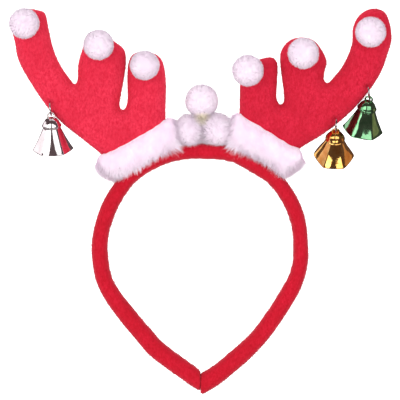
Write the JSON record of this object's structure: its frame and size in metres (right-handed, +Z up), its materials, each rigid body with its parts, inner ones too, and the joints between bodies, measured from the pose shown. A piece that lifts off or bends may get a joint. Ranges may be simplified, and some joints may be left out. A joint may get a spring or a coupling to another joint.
{
  "type": "reindeer antler headband",
  "caption": "Plush reindeer antler headband with white fur trims, pompoms on the tines and at the centre, and small plated bells on jump rings.",
  "frame": {"origin": "inner face of the band at its top, where it sits on the head", "axes": "+Z up as worn, +X to the right seen from the front, the front with the pompoms faces -Y"},
  "size_m": [0.2213, 0.04, 0.2226],
  "materials": {
    "band_plush": "short-nap red plush over a padded strip",
    "antler_plush": "short-nap bright red plush, stuffed",
    "white_fur": "deep-pile white fur with a faint pink cast",
    "white_pompom": "dense soft white pompom pile",
    "silver_plate": "bright silver plating",
    "gold_plate": "bright gold plating",
    "green_plate": "bright green metallic lacquer over plating",
    "ring_steel": "bright plated wire",
    "clapper_steel": "plain plated metal"
  },
  "bodies": {
    "root": {"headband": "band_plush", "antler_left": "antler_plush", "antler_right": "antler_plush", "fur_trim_left": "white_fur", "fur_trim_right": "white_fur", "pompom_left_outer": "white_pompom", "pompom_left_middle": "white_pompom", "pompom_left_inner": "white_pompom", "pompom_right_outer": "white_pompom", "pompom_right_middle": "white_pompom", "pompom_right_inner": "white_pompom", "pompom_centre_top": "white_pompom", "pompom_centre_left": "white_pompom", "pompom_centre_right": "white_pompom", "bell_silver": "silver_plate", "bell_gold": "gold_plate", "bell_green": "green_plate", "ring_silver": "ring_steel", "ring_gold": "ring_steel", "ring_green": "ring_steel", "clapper_silver": "clapper_steel", "clapper_gold": "clapper_steel", "clapper_green": "clapper_steel"}
  },
  "joints": []
}
